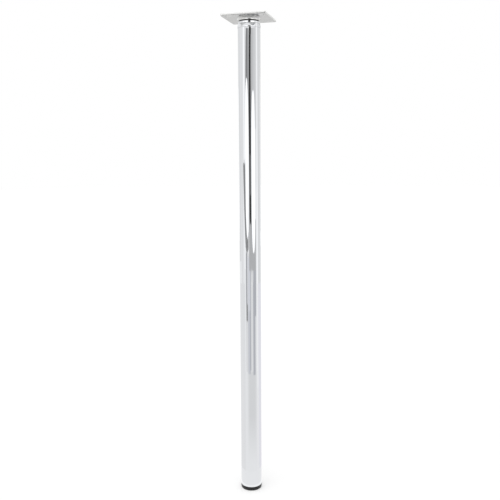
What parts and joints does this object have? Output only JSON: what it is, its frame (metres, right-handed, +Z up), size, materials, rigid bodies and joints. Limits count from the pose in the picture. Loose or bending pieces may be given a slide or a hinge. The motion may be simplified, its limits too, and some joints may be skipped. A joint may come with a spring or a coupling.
{
  "type": "table leg",
  "caption": "Round chromed steel table leg with a square screw-on plate at the top and a height-adjustable black foot.",
  "frame": {"origin": "centre of the mounting plate's top face, where it lies against the underside of the table top", "axes": "+Z up along the leg into the table top, X and Y parallel to the plate's sides; the leg hangs down along -Z"},
  "size_m": [0.065, 0.065, 0.71],
  "materials": {
    "chrome_tube": "polished chrome plate",
    "chrome_plate": "satin chrome plate",
    "zinc_steel": "zinc plated, semi-matt",
    "black_pad": "moulded, lightly textured",
    "grey_insert": "moulded, glass filled"
  },
  "bodies": {
    "leg": {"mounting_plate": "chrome_plate", "lock_washer": "zinc_steel", "clamp_screw": "zinc_steel", "top_plug": "chrome_tube", "tube": "chrome_tube", "foot_insert": "grey_insert", "foot_nut": "zinc_steel"},
    "pad": {"foot_pad": "black_pad"},
    "screw": {"spindle": "zinc_steel"}
  },
  "joints": [
    {"name": "height_adjust", "type": "slide", "parent": "leg", "child": "pad", "axis": [0, 0, -1], "range_m": [0, 0.02]},
    {"name": "spindle_turn", "type": "hinge", "parent": "pad", "child": "screw", "pos_m": [0, 0, -0.705], "axis": [0, 0, -1], "range_deg": [0, 4800]}
  ],
  "couplings": [
    {"joint": "spindle_turn", "follows": "height_adjust", "rad_per_m": 4188.8}
  ]
}
